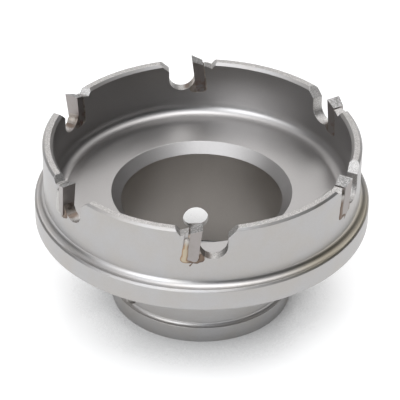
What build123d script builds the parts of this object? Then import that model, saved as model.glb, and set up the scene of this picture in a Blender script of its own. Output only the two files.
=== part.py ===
from build123d import *

import os
from math import cos, radians, sin, sqrt, tan

# Carbide-tipped hole saw, the cup of a quick-change system, for holes of 60 nominal.
# Millimetres. The origin is the centre of the hub's end face, +Z runs along the axis towards the teeth,
# and the saw cuts turning from +X towards +Y.

# ---- hub: the end that the arbor takes hold of ----
hub_bore_diameter = 30.0
hub_wall = 1.3
hub_lip_step = 0.7
hub_lip_height = 3.1
hub_lip_corner = 0.45
hub_end_chamfer = 0.3

# ---- locking holes through the hub ----
lock_hole_diameter = 5.0
lock_hole_height = 5.7
lock_hole_count = 3
first_lock_hole_angle = 90.0

# ---- web and depth-stop flange ----
flange_underside_height = 17.6
web_thickness = 4.8
flange_rim_thickness = 4.35
flange_reach = 1.75
flange_lower_chamfer = 0.4
flange_upper_chamfer = 0.3
bore_entry_chamfer = 1.8

# ---- barrel ----
cutting_diameter = 59.5
barrel_wall = 1.95
cup_depth = 11.1
cup_corner_radius = 2.1
rim_outer_chamfer = 0.4
rim_inner_chamfer = 0.5
root_chamfer = 0.6
root_land = 0.4
ground_step = 0.1

# ---- teeth: pairs at an unequal pitch, against chatter ----
tooth_pairs = 3
first_tooth_angle = 90.0
pair_spacing_angle = 56.0
tip_rise = 0.4
rake_angle = 7.0
clearance_angle = 23.0
heel_length = 3.85
heel_rise_length = 0.9

# ---- carbide tip ----
tip_height = 6.9
tip_top_length = 2.1
tip_base_length = 1.95
tip_corner_radius = 0.8
tip_outer_set = 0.5
tip_inner_set = 0.2
tip_outer_relief_angle = 11.0
tip_inner_relief_angle = 4.5
tip_dish_angle = 1.0

# ---- gullet ahead of each tip ----
gullet_width = 4.45
gullet_depth = 6.3
gullet_radius = 2.5
gullet_lip_length = 1.7

# ---- seat of the tip, and the braze that fills it ----
seat_front_length = 0.5
seat_corner_radius = 1.0
seam_back = 0.3
seam_base = 0.12
seam_recess = 0.3

# ---- hollow that the grinding wheel leaves in the barrel behind each tip ----
groove_radius = 0.9
groove_depth = 0.25
groove_offset = 0.45

# ---- worked out from the sizes above ----
bore_radius = hub_bore_diameter / 2
entry_radius = bore_radius + bore_entry_chamfer
neck_radius = bore_radius + hub_wall
lip_radius = neck_radius + hub_lip_step
barrel_radius = cutting_diameter / 2 - tip_outer_set
root_radius = barrel_radius - ground_step
cup_radius = barrel_radius - barrel_wall
flange_radius = barrel_radius + flange_reach
floor_height = flange_underside_height + web_thickness
ledge_height = flange_underside_height + flange_rim_thickness
ground_start_height = ledge_height + root_chamfer + root_land
rim_height = floor_height + cup_depth
point_height = rim_height + tip_rise
tip_foot_height = point_height - tip_height
gullet_floor_height = point_height - gullet_depth
gullet_centre_height = gullet_floor_height + gullet_radius
pair_pitch = 360.0 / tooth_pairs

# Radial cuts start this far inside the wall and run the same way past the tips.
cut_margin = 2.5
cut_start_radius = cup_radius - cut_margin
cut_length = barrel_wall + tip_outer_set + 2 * cut_margin


def outward(angle):
    """Direction from the axis to a point of the rim."""
    return Vector(cos(radians(angle)), sin(radians(angle)), 0)


def forward(angle):
    """Direction in which that point of the rim cuts."""
    return Vector(-sin(radians(angle)), cos(radians(angle)), 0)


def tooth_plane(angle):
    """Side view of one tooth: x runs forward from its point, y is the height, and z points outwards."""
    return Plane(origin=outward(angle) * cut_start_radius, x_dir=forward(angle), z_dir=outward(angle))


def rake_line(height):
    """Place of the cutting face at a height: 0 at the point, and behind it lower down."""
    return (height - point_height) * tan(radians(rake_angle))


def clearance_line(place):
    """Height of the ground heel at a place behind the point."""
    return point_height + place * tan(radians(clearance_angle))


def gullet_outline(plane):
    """What is milled away ahead of a tip, and ground away behind it."""
    heel_end = -heel_length - heel_rise_length
    gullet_centre = gullet_width - gullet_radius
    lip_end = gullet_width + gullet_lip_length
    open_height = point_height + cut_margin
    with BuildSketch(plane) as outline:
        with BuildLine():
            Polyline(
                (heel_end, open_height),
                (heel_end, rim_height),
                (-heel_length, clearance_line(-heel_length)),
                (0, point_height),
                (rake_line(gullet_centre_height), gullet_centre_height),
                (gullet_width, gullet_centre_height),
                (gullet_width, rim_height - gullet_lip_length),
                (lip_end, rim_height),
                (lip_end, open_height),
                close=True,
            )
        make_face()
        with Locations((gullet_centre, gullet_centre_height)):
            Circle(gullet_radius)
    return outline.sketch


def seat_outline(plane, crown_drop):
    """The seat milled for a tip: open ahead of it to the gullet, and lower behind it by the crown drop."""
    foot_height = tip_foot_height - seam_base
    back_foot = rake_line(tip_foot_height) - tip_base_length - seam_back
    back_crown = -tip_top_length - seam_back
    with BuildSketch(plane) as outline:
        with BuildLine():
            Polyline(
                (0, point_height),
                (seat_front_length, gullet_centre_height),
                (seat_front_length, foot_height),
                (back_foot, foot_height),
                (back_crown, clearance_line(back_crown) - crown_drop),
                close=True,
            )
        make_face()
        fillet(outline.vertices().group_by(Axis.Y)[0], seat_corner_radius)
    return outline.sketch


def tip_outline(plane):
    """Side view of a carbide tip, with its foot rounded to suit the seat."""
    front_foot = rake_line(tip_foot_height)
    with BuildSketch(plane) as outline:
        with BuildLine():
            Polyline(
                (0, point_height),
                (front_foot, tip_foot_height),
                (front_foot - tip_base_length, tip_foot_height),
                (-tip_top_length, clearance_line(-tip_top_length)),
                close=True,
            )
        make_face()
        fillet(outline.vertices().group_by(Axis.Y)[0], tip_corner_radius)
    return outline.sketch


def tip_outer_face(angle):
    """Plane of a tip's ground outer side, relieved backwards and downwards."""
    lean = forward(angle) * tan(radians(tip_outer_relief_angle)) + Vector(0, 0, tan(radians(tip_dish_angle)))
    point = outward(angle) * cutting_diameter / 2 + Vector(0, 0, point_height)
    return Plane(origin=point, z_dir=outward(angle) - lean)


def tip_inner_face(angle):
    """Plane of a tip's ground inner side, relieved backwards."""
    lean = forward(angle) * tan(radians(tip_inner_relief_angle))
    return Plane(origin=outward(angle) * (cup_radius - tip_inner_set), z_dir=outward(angle) + lean)


def relief_groove(angle):
    """Shallow hollow down the outside of the barrel, along the back of a tip."""
    place = rake_line(tip_foot_height) - tip_base_length - groove_offset
    reach = barrel_radius + groove_radius - groove_depth
    centre = forward(angle) * place + outward(angle) * sqrt(reach**2 - place**2) + Vector(0, 0, tip_foot_height)
    lean = forward(angle) * tan(radians(rake_angle)) + Vector(0, 0, 1)
    with BuildPart() as groove:
        with BuildSketch(Plane(origin=centre, x_dir=outward(angle), z_dir=(0, 0, 1))):
            Circle(groove_radius)
        extrude(amount=tip_height, dir=lean)
    return groove.part


def wall_ring():
    """Sketch of the barrel's wall, at the level of the cup's floor."""
    with BuildSketch(Plane.XY.offset(floor_height)) as ring:
        Circle(barrel_radius)
        Circle(cup_radius, mode=Mode.SUBTRACT)
    return ring.sketch


tooth_angles = []
for pair in range(tooth_pairs):
    leading = first_tooth_angle + pair * pair_pitch
    tooth_angles += [leading, leading + pair_spacing_angle]

# ---- saw body: turned in one piece, then drilled and milled ----
with BuildPart() as saw_body:
    with BuildSketch(Plane.XZ) as section:
        with BuildLine():
            Polyline(
                (bore_radius, hub_end_chamfer),
                (bore_radius + hub_end_chamfer, 0),
                (lip_radius, 0),
                (lip_radius, hub_lip_height),
                (neck_radius, hub_lip_height),
                (neck_radius, flange_underside_height),
                (flange_radius, flange_underside_height),
                (flange_radius, ledge_height),
                (root_radius, ledge_height),
                (root_radius, ground_start_height),
                (barrel_radius, ground_start_height + ground_step),
                (barrel_radius, rim_height),
                (cup_radius, rim_height),
                (cup_radius, floor_height),
                (entry_radius, floor_height),
                (bore_radius, floor_height - bore_entry_chamfer),
                close=True,
            )
        make_face()
        fillet(section.vertices().sort_by_distance((cup_radius, floor_height))[0], cup_corner_radius)
        breaks = {
            (neck_radius, hub_lip_height): hub_lip_corner,
            (flange_radius, flange_underside_height): flange_lower_chamfer,
            (flange_radius, ledge_height): flange_upper_chamfer,
            (root_radius, ledge_height): root_chamfer,
            (barrel_radius, rim_height): rim_outer_chamfer,
            (cup_radius, rim_height): rim_inner_chamfer,
        }
        for corner, length in breaks.items():
            chamfer(section.vertices().sort_by_distance(corner)[0], length)
    revolve(axis=Axis.Z)
    for hole in range(lock_hole_count):
        hole_angle = first_lock_hole_angle + hole * 360.0 / lock_hole_count
        hole_start = Vector(0, 0, lock_hole_height)
        with BuildSketch(Plane(origin=hole_start, z_dir=outward(hole_angle))):
            Circle(lock_hole_diameter / 2)
        extrude(amount=lip_radius + cut_margin, mode=Mode.SUBTRACT)
    for angle in tooth_angles:
        side_view = tooth_plane(angle)
        extrude(gullet_outline(side_view), amount=cut_length, mode=Mode.SUBTRACT)
        extrude(seat_outline(side_view, 0), amount=cut_length, mode=Mode.SUBTRACT)
        add(relief_groove(angle), mode=Mode.SUBTRACT)
saw_body.part.label = "saw_body"

os.makedirs("parts", exist_ok=True)
export_step(saw_body.part, "parts/saw_body.step")

# ---- carbide tips, and the braze that holds each in its seat ----
for number, angle in enumerate(tooth_angles, start=1):
    side_view = tooth_plane(angle)
    with BuildPart() as tip:
        extrude(tip_outline(side_view), amount=cut_length)
        split(bisect_by=tip_outer_face(angle), keep=Keep.BOTTOM)
        split(bisect_by=tip_inner_face(angle), keep=Keep.TOP)
    tip.part.label = f"carbide_tip_{number}"
    export_step(tip.part, f"parts/carbide_tip_{number}.step")

    with BuildPart() as braze:
        extrude(seat_outline(side_view, seam_recess), amount=cut_length)
        extrude(gullet_outline(side_view), amount=cut_length, mode=Mode.SUBTRACT)
        extrude(wall_ring(), amount=point_height - floor_height, mode=Mode.INTERSECT)
        extrude(tip_outline(side_view), amount=cut_length, mode=Mode.SUBTRACT)
        add(relief_groove(angle), mode=Mode.SUBTRACT)
    braze.part.label = f"braze_joint_{number}"
    export_step(braze.part, f"parts/braze_joint_{number}.step")
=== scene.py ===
import math
import random

import bmesh
import bpy
from mathutils import Matrix, Vector


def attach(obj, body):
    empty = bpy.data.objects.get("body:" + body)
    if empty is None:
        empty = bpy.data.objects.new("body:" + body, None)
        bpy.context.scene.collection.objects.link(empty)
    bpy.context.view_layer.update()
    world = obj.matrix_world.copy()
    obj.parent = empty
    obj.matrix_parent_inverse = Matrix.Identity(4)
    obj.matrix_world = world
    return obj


MM = 0.001

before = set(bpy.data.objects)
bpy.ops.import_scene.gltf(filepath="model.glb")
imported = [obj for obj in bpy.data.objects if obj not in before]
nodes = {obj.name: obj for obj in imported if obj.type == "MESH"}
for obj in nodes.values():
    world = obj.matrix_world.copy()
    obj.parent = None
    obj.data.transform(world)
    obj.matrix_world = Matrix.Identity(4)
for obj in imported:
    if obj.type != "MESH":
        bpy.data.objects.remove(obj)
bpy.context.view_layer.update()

# ---- sizes of the saw that its finishes and added pieces follow, in millimetres ----
barrel_radius = 29.25
ledge_height = 21.95
root_radius = 29.15
neck_radius = 16.3
lip_radius = 17.0
lip_height = 3.1
lock_hole_radius = 2.5
lock_hole_height = 5.7

# Where the lock holes and the teeth stand round the axis, in degrees from +X.
lock_hole_angles = [90, 210, 330]
tooth_angles = [90, 146, 210, 266, 330, 26]

# The middle of a carbide tip's foot: its distance from the axis and its height.
tip_foot_radius = 28.3
tip_foot_height = 28.0

# The rounds that the body's source leaves as chamfers, and how far out each one may reach.
root_round_radius = 1.6
root_round_edge = 30.72
lip_round_radius = 0.77
lip_round_edge = lip_radius - 0.01

# ---- where the body's finishes begin and end, in metres ----
# Each pair runs from where a zone is still absent to where it is whole.
above_cup_corner = (0.0258, 0.0262)
above_ledge = (0.0215, 0.0219)
below_cup_wall = (0.0250, 0.0245)
outside_cup_floor = (0.0220, 0.0240)
inside_cup_wall = (0.0282, 0.0278)
up_cup_wall = (0.0238, 0.0255)
inside_cup_corner = (0.0275, 0.0270)
above_web = (0.0200, 0.0210)
inside_hub = (0.0158, 0.0152)
inside_chamfer = (0.0178, 0.0174)
above_chamfer_foot = (0.0190, 0.0200)
hub_wall_inner = (0.0149, 0.0150)
hub_wall_outer = (0.0171, 0.0170)
above_hole_foot = (0.0032, 0.0034)
below_hole_top = (0.0084, 0.0082)
outside_root = (0.0290, 0.0294)
above_root_foot = (0.0216, 0.0219)
below_root_top = (0.0238, 0.0224)

# The camera stands on this bearing from the saw's axis, in degrees from +X.
view_bearing = -94.4


def seen(x, y, z):
    """A place in metres, from millimetres right of the axis, away from the camera and up."""
    turn = math.radians(view_bearing + 90)
    return Vector((
        (x * math.cos(turn) - y * math.sin(turn)) * MM,
        (x * math.sin(turn) + y * math.cos(turn)) * MM,
        z * MM,
    ))


def linear(hex_colour):
    """Linear RGBA of an sRGB hex colour."""
    channels = []
    for start in (1, 3, 5):
        value = int(hex_colour[start:start + 2], 16) / 255
        channels.append(value / 12.92 if value <= 0.04045 else ((value + 0.055) / 1.055) ** 2.4)
    return (*channels, 1.0)


# How bright the low white backdrop is, where 1 is white, and at what rise it ends.
backdrop_level = 1.0
backdrop_edge = (0.12, 0.10)

# How much of the floor's white doesn't hang on the lamps. It fades where the open share of the
# sky, out to this reach in metres, falls from the second of the two shares to the first.
paper_white_share = 0.66
shadow_reach = 0.04
shadow_open_share = (0.20, 0.50)
floor_half_width = 3.0

# Soft boxes: bearing, rise and half width in degrees, then strength. Bearing 0 is at the camera's
# right and 90 is beyond the saw. The strengths weren't chosen by hand: a separate least-squares
# program worked them out, and only the last one was changed after that.
soft_boxes = [
    (180, 8, 24, 0.07),
    (210, 8, 24, 0.74),
    (240, 8, 24, 0.76),
    (30, 30, 24, 0.12),
    (60, 30, 24, 0.21),
    (90, 30, 24, 0.42),
    (120, 30, 24, 0.94),
    (150, 30, 24, 0.42),
    (210, 30, 24, 1.49),
    (240, 30, 24, 4.00),
    (0, 54, 24, 0.42),
    (45, 54, 24, 0.97),
    (90, 54, 24, 2.50),
    (135, 54, 24, 0.25),
    (180, 54, 24, 0.77),
    (225, 54, 24, 0.34),
    (270, 54, 24, 0.98),
    (315, 54, 24, 0.34),
    (0, 72, 20, 1.93),
    (144, 72, 20, 0.11),
    (216, 72, 20, 2.02),
    (288, 72, 20, 3.40),
]


# ---- material graphs ----
SOFT = {"interpolation_type": "SMOOTHSTEP"}
TIMES = {"operation": "MULTIPLY"}
LARGER = {"operation": "MAXIMUM"}
COLOUR = {"data_type": "RGBA", "output": 2}

# The places of a colour Mix's factor and of the two colours that it mixes.
SHARE, UNDER, OVER = 0, 6, 7


def new_material(name):
    """An empty node material, with its tree."""
    material = bpy.data.materials.new(name)
    material.use_nodes = True
    material.node_tree.nodes.clear()
    return material, material.node_tree


def node(tree, kind, *inputs, stops=(), output=0, **settings):
    """Adds a node and gives back one of its outputs.

    Inputs are values or sockets in order, None to leave one alone, or a dict by name or place.
    Settings are the node's properties, and stops fill a colour ramp.
    """
    made = tree.nodes.new("ShaderNode" + kind)
    for key, value in settings.items():
        setattr(made, key, value)
    for place, value in enumerate(inputs):
        for key, given in (value if isinstance(value, dict) else {place: value}).items():
            if isinstance(given, bpy.types.NodeSocket):
                tree.links.new(given, made.inputs[key])
            elif given is not None:
                made.inputs[key].default_value = given
    for step, (place, colour) in enumerate(stops):
        band = made.color_ramp.elements
        stop = band[step] if step < len(band) else band.new(place)
        stop.position = place
        stop.color = colour
    return made.outputs[output] if made.outputs else made


def from_axis(tree):
    """The level way from the saw's axis to a place, in metres."""
    place = node(tree, "NewGeometry", output="Position")
    return node(tree, "VectorMath", place, (1, 1, 0), operation="MULTIPLY")


def radius_and_height(tree):
    """How far a place is from the saw's axis and from the floor, in metres."""
    place = node(tree, "NewGeometry", output="Position")
    radius = node(tree, "VectorMath", from_axis(tree), operation="LENGTH", output="Value")
    return radius, node(tree, "SeparateXYZ", place, output="Z")


def sideways(tree):
    """How squarely a surface faces the saw's axis or away from it, from 0 to 1."""
    normal = node(tree, "NewGeometry", output="True Normal")
    radial = node(tree, "VectorMath", from_axis(tree), operation="NORMALIZE")
    outward = node(tree, "VectorMath", normal, radial, operation="DOT_PRODUCT", output="Value")
    return node(tree, "Math", outward, operation="ABSOLUTE")


def upward(tree):
    """How squarely a surface faces up, from -1 to 1."""
    normal = node(tree, "NewGeometry", output="True Normal")
    return node(tree, "SeparateXYZ", normal, output="Z")


def all_of(tree, *masks):
    """Where every one of the masks holds."""
    together = masks[0]
    for mask in masks[1:]:
        together = node(tree, "Math", together, mask, **TIMES)
    return together


def towards(tree, bearing):
    """How far a place lies towards one of the saw's own bearings: the cosine of the angle."""
    turn = math.radians(bearing)
    way = node(tree, "VectorMath", from_axis(tree), operation="NORMALIZE")
    aim = (math.cos(turn), math.sin(turn), 0)
    return node(tree, "VectorMath", way, aim, operation="DOT_PRODUCT", output="Value")


def near_feet(tree, reach, fade):
    """Round the foot of every carbide tip, out to a reach in metres."""
    place = node(tree, "NewGeometry", output="Position")
    nearest = None
    for angle in tooth_angles:
        turn = math.radians(angle)
        level = (math.cos(turn) * tip_foot_radius, math.sin(turn) * tip_foot_radius)
        foot = Vector((*level, tip_foot_height)) * MM
        away = node(tree, "VectorMath", place, foot, operation="DISTANCE", output="Value")
        if nearest is None:
            nearest = away
        else:
            nearest = node(tree, "Math", nearest, away, operation="MINIMUM")
    return node(tree, "MapRange", nearest, reach, reach - fade, **SOFT)


def blasted_steel():
    """Alloy steel, turned and bead blasted to an even satin grey, and ground where teeth are cut,
    with painted shade in its recesses.
    """
    material, tree = new_material("blasted_steel")
    place = node(tree, "TexCoord", output="Object")
    radius, height = radius_and_height(tree)
    across = sideways(tree)
    upright = node(tree, "MapRange", across, 0.90, 0.97, **SOFT)

    # Ground faces: the rim's land, the gullets and the heels, all above the cup's corner.
    ground = all_of(
        tree,
        node(tree, "MapRange", across, 0.62, 0.5, **SOFT),
        node(tree, "MapRange", height, *above_cup_corner, **SOFT),
    )
    # Curved corners, which are given a slightly smoother satin than the flats.
    corners = all_of(
        tree,
        node(tree, "MapRange", height, *above_ledge, **SOFT),
        node(tree, "MapRange", height, *below_cup_wall, **SOFT),
        node(tree, "MapRange", across, 0.97, 0.90, **SOFT),
        node(tree, "MapRange", radius, *outside_cup_floor, **SOFT),
    )
    # The recessed surfaces, whose satin is painted a little darker below: painted shade.
    cup_wall = all_of(
        tree, upright,
        node(tree, "MapRange", radius, *inside_cup_wall, **SOFT),
        node(tree, "MapRange", height, *up_cup_wall, **SOFT),
    )
    cup_floor = all_of(
        tree,
        node(tree, "MapRange", radius, *inside_cup_corner, **SOFT),
        node(tree, "MapRange", height, *above_web, **SOFT),
    )
    bore = all_of(tree, upright, node(tree, "MapRange", radius, *inside_hub, **SOFT))
    chamfer = all_of(
        tree,
        node(tree, "MapRange", across, 0.4, 0.5, **SOFT),
        node(tree, "MapRange", across, 0.94, 0.88, **SOFT),
        node(tree, "MapRange", radius, *inside_chamfer, **SOFT),
        node(tree, "MapRange", height, *above_chamfer_foot, **SOFT),
    )
    # The drilled walls of the lock holes, painted darker below: painted shade.
    drilled = all_of(
        tree,
        node(tree, "MapRange", across, 0.6, 0.4, **SOFT),
        node(tree, "MapRange", radius, *hub_wall_inner, **SOFT),
        node(tree, "MapRange", radius, *hub_wall_outer, **SOFT),
        node(tree, "MapRange", height, *above_hole_foot, **SOFT),
        node(tree, "MapRange", height, *below_hole_top, **SOFT),
    )

    # Glass bead pits are 0.05 mm across; they are drawn at 0.12 mm so that they show.
    pits = node(tree, "TexNoise", {
        "Vector": place, "Scale": 8000.0, "Detail": 1.5, "Roughness": 0.6,
    })
    # Overlapping bead marks, 0.3 mm apart.
    grain = node(tree, "TexNoise", {
        "Vector": place, "Scale": 3400.0, "Detail": 2.0, "Roughness": 0.6,
    })
    # Uneven blasting over about 5 mm.
    clouds = node(tree, "TexNoise", {
        "Vector": place, "Scale": 200.0, "Detail": 3.0, "Roughness": 0.55,
    })
    # Cells of about 0.2 mm, for the marks that a grinding wheel leaves; real ones are finer.
    grit = node(tree, "TexVoronoi", {"Vector": place, "Scale": 5200.0})

    satin = node(tree, "ValToRGB", clouds, stops=[
        (0.35, linear("#aeaba8")), (0.65, linear("#b0afaf")),
    ])
    # Painted shade: the cup's wall and floor, the bore, its chamfer and the lock holes' walls are
    # given darker greys than the satin.
    painted_shade_zones = (
        (cup_floor, "#a8a6a5"), (chamfer, "#aaa8a7"), (cup_wall, "#9f9d9c"),
        (bore, "#a9a49f"), (drilled, "#989592"),
    )
    for zone, shade in painted_shade_zones:
        satin = node(tree, "Mix", {SHARE: zone, UNDER: satin, OVER: linear(shade)}, **COLOUR)
    # A faint straw tint in the root, over part of the way round.
    straw = all_of(
        tree,
        node(tree, "MapRange", towards(tree, 328), 0.80, 0.97, **SOFT),
        node(tree, "MapRange", radius, *outside_root, **SOFT),
        node(tree, "MapRange", height, *above_root_foot, **SOFT),
        node(tree, "MapRange", height, *below_root_top, 0.0, 0.6, **SOFT),
    )
    satin = node(tree, "Mix", {SHARE: straw, UNDER: satin, OVER: linear("#a99f86")}, **COLOUR)
    speck = node(tree, "MapRange", grain, 0.3, 0.7, 0.985, 1.015, **SOFT)
    satin = node(tree, "VectorMath", satin, {"Scale": speck}, operation="SCALE")
    bright = node(tree, "ValToRGB", grit, stops=[
        (0.1, linear("#8e8c8a")), (0.75, linear("#c2c0be")),
    ])
    colour = node(tree, "Mix", {SHARE: ground, UNDER: satin, OVER: bright}, **COLOUR)
    # Brown oxide of the brazing heat, on the cut faces beside each tip's foot.
    browned = all_of(
        tree,
        near_feet(tree, 0.0020, 0.0010),
        node(tree, "MapRange", across, 0.9, 0.7, **SOFT),
        node(tree, "MapRange", clouds, 0.30, 0.55, 0.5, 1.0, **SOFT),
    )
    colour = node(tree, "Mix", {SHARE: browned, UNDER: colour, OVER: linear("#796c63")}, **COLOUR)

    rough = node(tree, "MapRange", clouds, 0.3, 0.7, 0.40, 0.44, **SOFT)
    rough = node(tree, "Mix", corners, None, rough, 0.34)
    rough = node(tree, "Mix", cup_wall, None, rough, 0.33)
    rough = node(tree, "Mix", ground, None, rough, 0.42)
    edges = node(tree, "Bevel", 0.00012, samples=6)
    fine = node(tree, "Bump", {
        "Strength": 0.14, "Distance": 0.00002, "Height": pits, "Normal": edges,
    })
    marks = node(tree, "Math", grit, ground, **TIMES)
    coarse = node(tree, "Bump", {
        "Strength": 0.8, "Distance": 0.00004, "Height": marks, "Normal": fine,
    })
    shader = node(tree, "BsdfPrincipled", {
        "Base Color": colour, "Metallic": 1.0, "Roughness": rough, "Normal": coarse,
    })
    node(tree, "OutputMaterial", shader)
    return material


def ground_carbide():
    """Cemented tungsten carbide: diamond ground and sparkling on top, smooth and stained beside."""
    material, tree = new_material("ground_carbide")
    place = node(tree, "TexCoord", output="Object")
    radius, height = radius_and_height(tree)
    top = node(tree, "MapRange", upward(tree), 0.6, 0.8, **SOFT)
    # Diamond grit marks, drawn 0.2 mm apart; real ones are finer.
    grit = node(tree, "TexVoronoi", {"Vector": place, "Scale": 4600.0})
    spark = node(tree, "TexVoronoi", {"Vector": place, "Scale": 4600.0}, output="Color")
    # Heat haze that changes over about 1.4 mm.
    haze = node(tree, "TexNoise", {
        "Vector": place, "Scale": 700.0, "Detail": 3.0, "Roughness": 0.6,
    })
    # Oxide colours of the brazing heat, stronger towards the foot.
    stain = all_of(
        tree,
        node(tree, "MapRange", height, 0.0315, 0.0270, **SOFT),
        node(tree, "MapRange", radius, 0.0290, 0.0280, **SOFT),
        node(tree, "MapRange", haze, 0.42, 0.66, **SOFT),
    )
    sides = node(tree, "Mix", {
        SHARE: haze, UNDER: linear("#8e8a85"), OVER: linear("#9f9999"),
    }, **COLOUR)
    sides = node(tree, "Mix", {SHARE: stain, UNDER: sides, OVER: linear("#78594d")}, **COLOUR)
    glint = node(tree, "SeparateXYZ", spark, output="X")
    sparks = node(tree, "ValToRGB", glint, stops=[
        (0.1, linear("#888786")), (0.6, linear("#9d9c9b")), (0.95, linear("#bdbcbb")),
    ])
    colour = node(tree, "Mix", {SHARE: top, UNDER: sides, OVER: sparks}, **COLOUR)
    marks = node(tree, "Math", grit, top, **TIMES)
    edges = node(tree, "Bevel", 0.00008, samples=6)
    bump = node(tree, "Bump", {
        "Strength": 0.45, "Distance": 0.00004, "Height": marks, "Normal": edges,
    })
    rough = node(tree, "MapRange", haze, 0.3, 0.7, 0.30, 0.38, **SOFT)
    rough = node(tree, "Mix", top, None, rough, 0.52)
    shader = node(tree, "BsdfPrincipled", {
        "Base Color": colour, "Metallic": 1.0, "Roughness": rough, "Normal": bump,
    })
    node(tree, "OutputMaterial", shader)
    return material


def silver_braze():
    """Silver brazing alloy, left as it flowed: bright grey, tan and pink where heat coloured it."""
    material, tree = new_material("silver_braze")
    place = node(tree, "TexCoord", output="Object")
    # Stains that change over about 1.2 mm.
    stain = node(tree, "TexNoise", {
        "Vector": place, "Scale": 800.0, "Detail": 3.0, "Roughness": 0.6,
    })
    colour = node(tree, "ValToRGB", stain, stops=[
        (0.30, linear("#61564f")),
        (0.42, linear("#877e76")),
        (0.62, linear("#a49e97")),
        (0.72, linear("#b68d6f")),
    ])
    # Ground flush with the tip on top.
    top = node(tree, "MapRange", upward(tree), 0.6, 0.8, 0.0, 0.6, **SOFT)
    colour = node(tree, "Mix", {SHARE: top, UNDER: colour, OVER: linear("#86807b")}, **COLOUR)
    bump = node(tree, "Bump", {"Strength": 0.35, "Distance": 0.00005, "Height": stain})
    shader = node(tree, "BsdfPrincipled", {
        "Base Color": colour, "Metallic": 0.9, "Roughness": 0.38, "Normal": bump,
    })
    node(tree, "OutputMaterial", shader)
    return material


def oxidised_braze():
    """Silver braze over the barrel: tan behind the tip, browned by heat at the foot, or grey."""
    material, tree = new_material("oxidised_braze")
    place = node(tree, "TexCoord", output="Object")
    thickness = node(tree, "Attribute", attribute_name="thickness", output="Fac")
    warmth = node(tree, "Attribute", attribute_name="warmth", output="Fac")
    oxide = node(tree, "Attribute", attribute_name="oxide", output="Fac")
    # Stains that change over about 0.7 mm.
    stain = node(tree, "TexNoise", {
        "Vector": place, "Scale": 1400.0, "Detail": 3.0, "Roughness": 0.6,
    })
    mottled = node(tree, "Math", stain, 0.5, thickness, operation="MULTIPLY_ADD")
    tan = node(tree, "ValToRGB", mottled, stops=[
        (0.1, linear("#9b8671")),
        (0.4, linear("#977b62")),
        (0.8, linear("#ac9a83")),
        (1.0, linear("#b2a692")),
    ])
    brown = node(tree, "ValToRGB", mottled, stops=[
        (0.1, linear("#80746b")),
        (0.5, linear("#69584f")),
        (1.0, linear("#75665a")),
    ])
    colour = node(tree, "Mix", {SHARE: warmth, UNDER: brown, OVER: tan}, **COLOUR)
    colour = node(tree, "Mix", {SHARE: oxide, UNDER: linear("#b7b5b2"), OVER: colour}, **COLOUR)
    shader = node(tree, "BsdfPrincipled", {
        "Base Color": colour, "Metallic": 0.9, "Roughness": 0.42,
    })
    node(tree, "OutputMaterial", shader)
    return material


def white_paper():
    """Matt white paper: no gloss, white to the eye and in the metal alike, with a real shadow."""
    material, tree = new_material("white_paper")
    place = node(tree, "TexCoord", output="Object")
    # Paper fibres are finer than this; they are drawn 0.5 mm long so that they show at all.
    fibres = node(tree, "TexNoise", {
        "Vector": place, "Scale": 2000.0, "Detail": 2.0, "Roughness": 0.6,
    })
    colour = node(tree, "ValToRGB", fibres, stops=[
        (0.3, linear("#b2b2b2")), (0.7, linear("#b4b4b4")),
    ])
    paper = node(tree, "BsdfDiffuse", colour)
    # The white share is seen directly, by reflection and through glass, and fades where the saw
    # shuts the light out.
    direct = node(tree, "LightPath", output="Is Camera Ray")
    mirrored = node(tree, "LightPath", output="Is Glossy Ray")
    through = node(tree, "LightPath", output="Is Transmission Ray")
    watched = node(tree, "Math", direct, mirrored, **LARGER)
    watched = node(tree, "Math", watched, through, **LARGER)
    openness = node(tree, "AmbientOcclusion", {"Distance": shadow_reach}, samples=8, output="AO")
    white = node(tree, "MapRange", openness, *shadow_open_share, 0.0, paper_white_share, **SOFT)
    light = node(tree, "Emission", (1, 1, 1, 1), node(tree, "Math", watched, white, **TIMES))
    node(tree, "OutputMaterial", node(tree, "AddShader", paper, light))
    return material


steel = blasted_steel()
carbide = ground_carbide()
braze = silver_braze()
run_braze = oxidised_braze()
finishes = {"saw_body": steel, "carbide_tip": carbide, "braze_joint": braze}
for name, part in nodes.items():
    for start, finish in finishes.items():
        if name.startswith(start):
            part.material_slots[0].material = finish


# ---- pieces that the turned and milled body doesn't carry ----
def new_piece(name, mesh, finish):
    """Puts a mesh in the scene as a piece of the saw."""
    piece = bpy.data.objects.new(name, mesh)
    bpy.context.scene.collection.objects.link(piece)
    mesh.materials.append(finish)
    for face in mesh.polygons:
        face.use_smooth = True
    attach(piece, "root")


def turned_ring(name, section, finish, roof=None, steps=360):
    """A closed ring round the axis, kept under roof(angle) where that is given.

    The section is a loop of (radius, height) in millimetres.
    """
    shape = bmesh.new()
    loops = []
    for step in range(steps):
        turn = 2 * math.pi * step / steps
        east, north = math.cos(turn), math.sin(turn)
        top = roof(turn) if roof else math.inf
        loops.append([
            shape.verts.new((radius * MM * east, radius * MM * north, min(height, top) * MM))
            for radius, height in section
        ])
    for step, loop in enumerate(loops):
        other = loops[(step + 1) % steps]
        for corner in range(len(section)):
            after = (corner + 1) % len(section)
            shape.faces.new((loop[corner], other[corner], other[after], loop[after]))
    bmesh.ops.recalc_face_normals(shape, faces=shape.faces)
    mesh = bpy.data.meshes.new(name)
    shape.to_mesh(mesh)
    shape.free()
    new_piece(name, mesh, finish)


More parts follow.
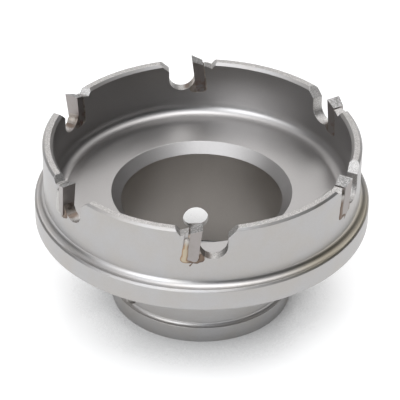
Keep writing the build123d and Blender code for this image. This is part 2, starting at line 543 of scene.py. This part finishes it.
def hollow_corner(wall_radius, step_height, radius, edge_radius, steps=14):
    """Section of a round in the corner over a step: a quarter circle, closed inside the metal."""
    # How far the round stands off the source's faces, and how deep its back is buried in them.
    skin = 0.012
    buried = 0.3
    centre_radius = wall_radius + radius + skin
    centre_height = step_height + radius + skin
    section = []
    for step in range(steps + 1):
        turn = math.radians(180 + 90 * step / steps)
        outer = centre_radius + radius * math.cos(turn)
        if outer < edge_radius:
            section.append((outer, centre_height + radius * math.sin(turn)))
    last_height = centre_height - math.sqrt(radius**2 - (centre_radius - edge_radius) ** 2)
    section += [
        (edge_radius, last_height),
        (edge_radius, step_height - buried),
        (wall_radius - buried, step_height - buried),
        (wall_radius - buried, centre_height),
    ]
    return section


def lock_hole_roof(turn):
    """Height of a lock hole's foot over the hub's lip, so that the round leaves the hole open."""
    gap = min(abs((math.degrees(turn) - hole + 180) % 360 - 180) for hole in lock_hole_angles)
    offset = lip_radius * math.sin(math.radians(min(gap, 90)))
    if offset >= lock_hole_radius:
        return math.inf
    return lock_hole_height - math.sqrt(lock_hole_radius**2 - offset**2)


root_section = hollow_corner(root_radius, ledge_height, root_round_radius, root_round_edge)
lip_section = hollow_corner(neck_radius, lip_height, lip_round_radius, lip_round_edge)
turned_ring("root_round", root_section, steel)
turned_ring("lip_round", lip_section, steel, lock_hole_roof)


# ---- braze that ran out over the barrel, round the back and foot of each tip ----
# Places on the barrel's side are in millimetres: along it from the tooth's angle, and up.
gullet_centre = (1.95, 30.1)
gullet_radius = 2.5

# How far the run stands proud in its middle, over what depth it rises to that, how far out of
# the outline it is feathered, and how deep its back lies in the barrel.
run_swell = 0.11
run_full_depth = 0.4
run_feather = 0.12
run_back_depth = 0.4

# The grid that a run is cut from: its cell, its size and its first corner.
run_cell = 0.07
run_columns = 84
run_rows = 86
run_first_place = -4.3
run_first_height = 25.6

# The drip of the tip at this angle keeps its plain place; the others' are moved about.
plain_drip_angle = 266

# Points of a run nearer than this, in metres, are one point.
weld_reach = 0.000002


def capsule_depth(place, height, start, end, radius):
    """How far inside a rounded bar a point of the barrel's side is, in millimetres."""
    run = (end[0] - start[0], end[1] - start[1])
    off = (place - start[0], height - start[1])
    along = (off[0] * run[0] + off[1] * run[1]) / (run[0] ** 2 + run[1] ** 2)
    along = min(1.0, max(0.0, along))
    return radius - math.hypot(off[0] - along * run[0], off[1] - along * run[1])


# For each tip, how far the heat coloured the run behind it, from bare grey to full colour, and
# how tan that colour is.
run_colours = [(1.0, 0.3), (0.6, 0.3), (0.0, 0.0), (1.0, 1.0), (1.0, 0.0), (0.7, 0.3)]


def braze_run(number, angle, chance):
    """One run of braze: bars of metal melted together, proud in the middle, feathered at the rim."""
    coloured, tanned = run_colours[number - 1]
    lean = chance.uniform(-0.06, 0.06)
    top = 31.2 + chance.uniform(-0.3, 0.3)
    drip_place = -2.0 + chance.uniform(-0.5, 0.5) * (angle != plain_drip_angle)
    # Each bar has a start, an end and a radius.
    bars = [
        ((-3.25, 27.3), (-2.95 + lean, 29.3), 0.60),
        ((-2.95 + lean, 29.3), (-2.66, top), 0.42),
        ((-2.9, 27.0), (-0.9, 27.0), 0.34),
        ((-0.9, 27.1), (-0.2, 27.5), 0.42),
        ((-0.2, 27.5), (-0.05, 28.5), 0.45),
        ((drip_place + 0.25, 26.7), (drip_place - 0.15, 26.15), 0.13),
    ]
    ripple = [
        (chance.uniform(2.0, 4.0), chance.uniform(2.0, 4.0), chance.uniform(0, 6.3))
        for _ in range(4)
    ]

    def depth(place, height):
        """How deep inside the run's rippled outline a place is."""
        value = max(capsule_depth(place, height, *bar) for bar in bars)
        for across, up, start in ripple:
            value += 0.02 * math.sin(across * place + up * height + start)
        return value

    outward = Vector((math.cos(math.radians(angle)), math.sin(math.radians(angle)), 0))
    forward = Vector((-outward.y, outward.x, 0))

    def spot(column, row):
        """Place and height of a grid point, drawn in to the gullet's edge where it lies beyond it."""
        place = run_first_place + column * run_cell
        height = run_first_height + row * run_cell
        away = math.hypot(place - gullet_centre[0], height - gullet_centre[1])
        if away < gullet_radius:
            stretch = gullet_radius / away
            place = gullet_centre[0] + (place - gullet_centre[0]) * stretch
            height = gullet_centre[1] + (height - gullet_centre[1]) * stretch
        return place, height

    def kept(column, row):
        """Whether a cell carries braze."""
        place = run_first_place + (column + 0.5) * run_cell
        height = run_first_height + (row + 0.5) * run_cell
        away = math.hypot(place - gullet_centre[0], height - gullet_centre[1])
        return away > gullet_radius - run_cell / 2 and depth(place, height) > -run_feather

    shape = bmesh.new()
    shade = shape.verts.layers.float.new("thickness")
    warmth = shape.verts.layers.float.new("warmth")
    oxide = shape.verts.layers.float.new("oxide")
    made = {}

    def corner(column, row, level):
        """A vertex of the run's skin (level 1) or of its buried back (level 0)."""
        key = (column, row, level)
        if key not in made:
            place, height = spot(column, row)
            rise = min(1.0, max(-0.35, depth(place, height) / run_full_depth))
            swell = run_swell * rise * (2 - rise) if rise > 0 else 0.3 * rise
            radial = barrel_radius + swell if level else barrel_radius - run_back_depth
            inward = math.sqrt(radial**2 - place**2)
            level_place = (outward * inward + forward * place) * MM
            vertex = shape.verts.new(level_place + Vector((0, 0, height * MM)))
            vertex[shade] = rise
            behind = min(1.0, max(0.0, (-2.2 - place) / 0.7))
            vertex[warmth] = tanned * behind
            kept_back = min(1.0, max(0.0, (-1.2 - place) / 0.7))
            fading = min(1.0, max(0.0, (height - 30.2) / 1.0))
            vertex[oxide] = (1.0 + (coloured - 1.0) * kept_back) * (1.0 - 0.8 * fading)
            made[key] = vertex
        return made[key]

    cells = {
        (column, row)
        for column in range(run_columns)
        for row in range(run_rows)
        if kept(column, row)
    }
    # For each side of a cell, the step to its neighbour and the side's two corners.
    sides = (
        ((0, -1), (0, 0), (1, 0)),
        ((1, 0), (1, 0), (1, 1)),
        ((0, 1), (1, 1), (0, 1)),
        ((-1, 0), (0, 1), (0, 0)),
    )
    for column, row in sorted(cells):
        ring = [(column, row), (column + 1, row), (column + 1, row + 1), (column, row + 1)]
        shape.faces.new([corner(*point, 1) for point in ring])
        shape.faces.new([corner(*point, 0) for point in reversed(ring)])
        for step, start, end in sides:
            if (column + step[0], row + step[1]) not in cells:
                one = (column + start[0], row + start[1])
                two = (column + end[0], row + end[1])
                shape.faces.new((
                    corner(*one, 0), corner(*two, 0), corner(*two, 1), corner(*one, 1),
                ))
    bmesh.ops.remove_doubles(shape, verts=shape.verts, dist=weld_reach)
    bmesh.ops.recalc_face_normals(shape, faces=shape.faces)
    name = f"braze_run_{number}"
    mesh = bpy.data.meshes.new(name)
    shape.to_mesh(mesh)
    shape.free()
    new_piece(name, mesh, run_braze)


chance = random.Random(41)
for number, angle in enumerate(tooth_angles, start=1):
    braze_run(number, angle, chance)


# ---- floor ----
def floor_sheet():
    """A wide flat floor under the saw."""
    mesh = bpy.data.meshes.new("floor")
    shape = bmesh.new()
    bmesh.ops.create_grid(shape, x_segments=8, y_segments=8, size=floor_half_width)
    shape.to_mesh(mesh)
    shape.free()
    sheet = bpy.data.objects.new("floor", mesh)
    bpy.context.scene.collection.objects.link(sheet)
    mesh.materials.append(white_paper())


floor_sheet()


# ---- camera ----
def stand_camera():
    """A long lens at 34 degrees above the rim, turned by about half a degree."""
    lens = bpy.data.cameras.new("camera")
    lens.lens = 198.0
    lens.sensor_width = 36.0
    lens.clip_start = 0.01
    camera = bpy.data.objects.new("camera", lens)
    rise = math.radians(34.251)
    roll = math.radians(0.587)
    distance = 409.59
    aim = seen(-0.324, 0, 20.109)
    back = seen(0, -math.cos(rise), math.sin(rise)).normalized()
    right = seen(1, 0, 0).normalized()
    up = back.cross(right)
    turned_right = math.cos(roll) * right + math.sin(roll) * up
    turned_up = -math.sin(roll) * right + math.cos(roll) * up
    spot = aim + back * distance * MM
    camera.matrix_world = Matrix((
        (turned_right.x, turned_up.x, back.x, spot.x),
        (turned_right.y, turned_up.y, back.y, spot.y),
        (turned_right.z, turned_up.z, back.z, spot.z),
        (0, 0, 0, 1),
    ))
    bpy.context.scene.collection.objects.link(camera)
    bpy.context.scene.camera = camera


stand_camera()


# ---- light ----
def studio():
    """A white studio: large soft boxes round the saw, each a soft-edged patch of the sky."""
    world = bpy.data.worlds.new("studio")
    world.use_nodes = True
    tree = world.node_tree
    tree.nodes.clear()
    way = node(tree, "TexCoord", output="Generated")
    level = None
    for bearing, rise, width, strength in soft_boxes:
        turn = math.radians(bearing)
        lift = math.radians(rise)
        reach = math.cos(lift)
        centre = seen(math.cos(turn) * reach, math.sin(turn) * reach, math.sin(lift)) / MM
        wide, narrow = math.cos(math.radians(width)), math.cos(math.radians(width / 4))
        near = node(tree, "VectorMath", way, centre, operation="DOT_PRODUCT", output="Value")
        patch = node(tree, "MapRange", near, wide, narrow, 0.0, strength, **SOFT)
        level = patch if level is None else node(tree, "Math", level, patch, operation="ADD")
    # A white backdrop stands low all round, behind the paper's far edge.
    rise = node(tree, "SeparateXYZ", way, output="Z")
    low = node(tree, "MapRange", rise, *backdrop_edge, 0.0, backdrop_level, **SOFT)
    level = node(tree, "Math", level, low, **LARGER)
    # The boxes in front are a little cooler than those behind.
    towards_camera = seen(0, -1, 0) / MM
    front = node(tree, "VectorMath", way, towards_camera, operation="DOT_PRODUCT", output="Value")
    cool = node(tree, "MapRange", front, -0.2, 0.8, **SOFT)
    tint = node(tree, "Mix", {
        SHARE: cool, UNDER: linear("#fffefe"), OVER: linear("#f8fbff"),
    }, **COLOUR)
    node(tree, "OutputWorld", node(tree, "Background", tint, level))
    bpy.context.scene.world = world


studio()
bpy.context.scene.view_settings.view_transform = "Standard"
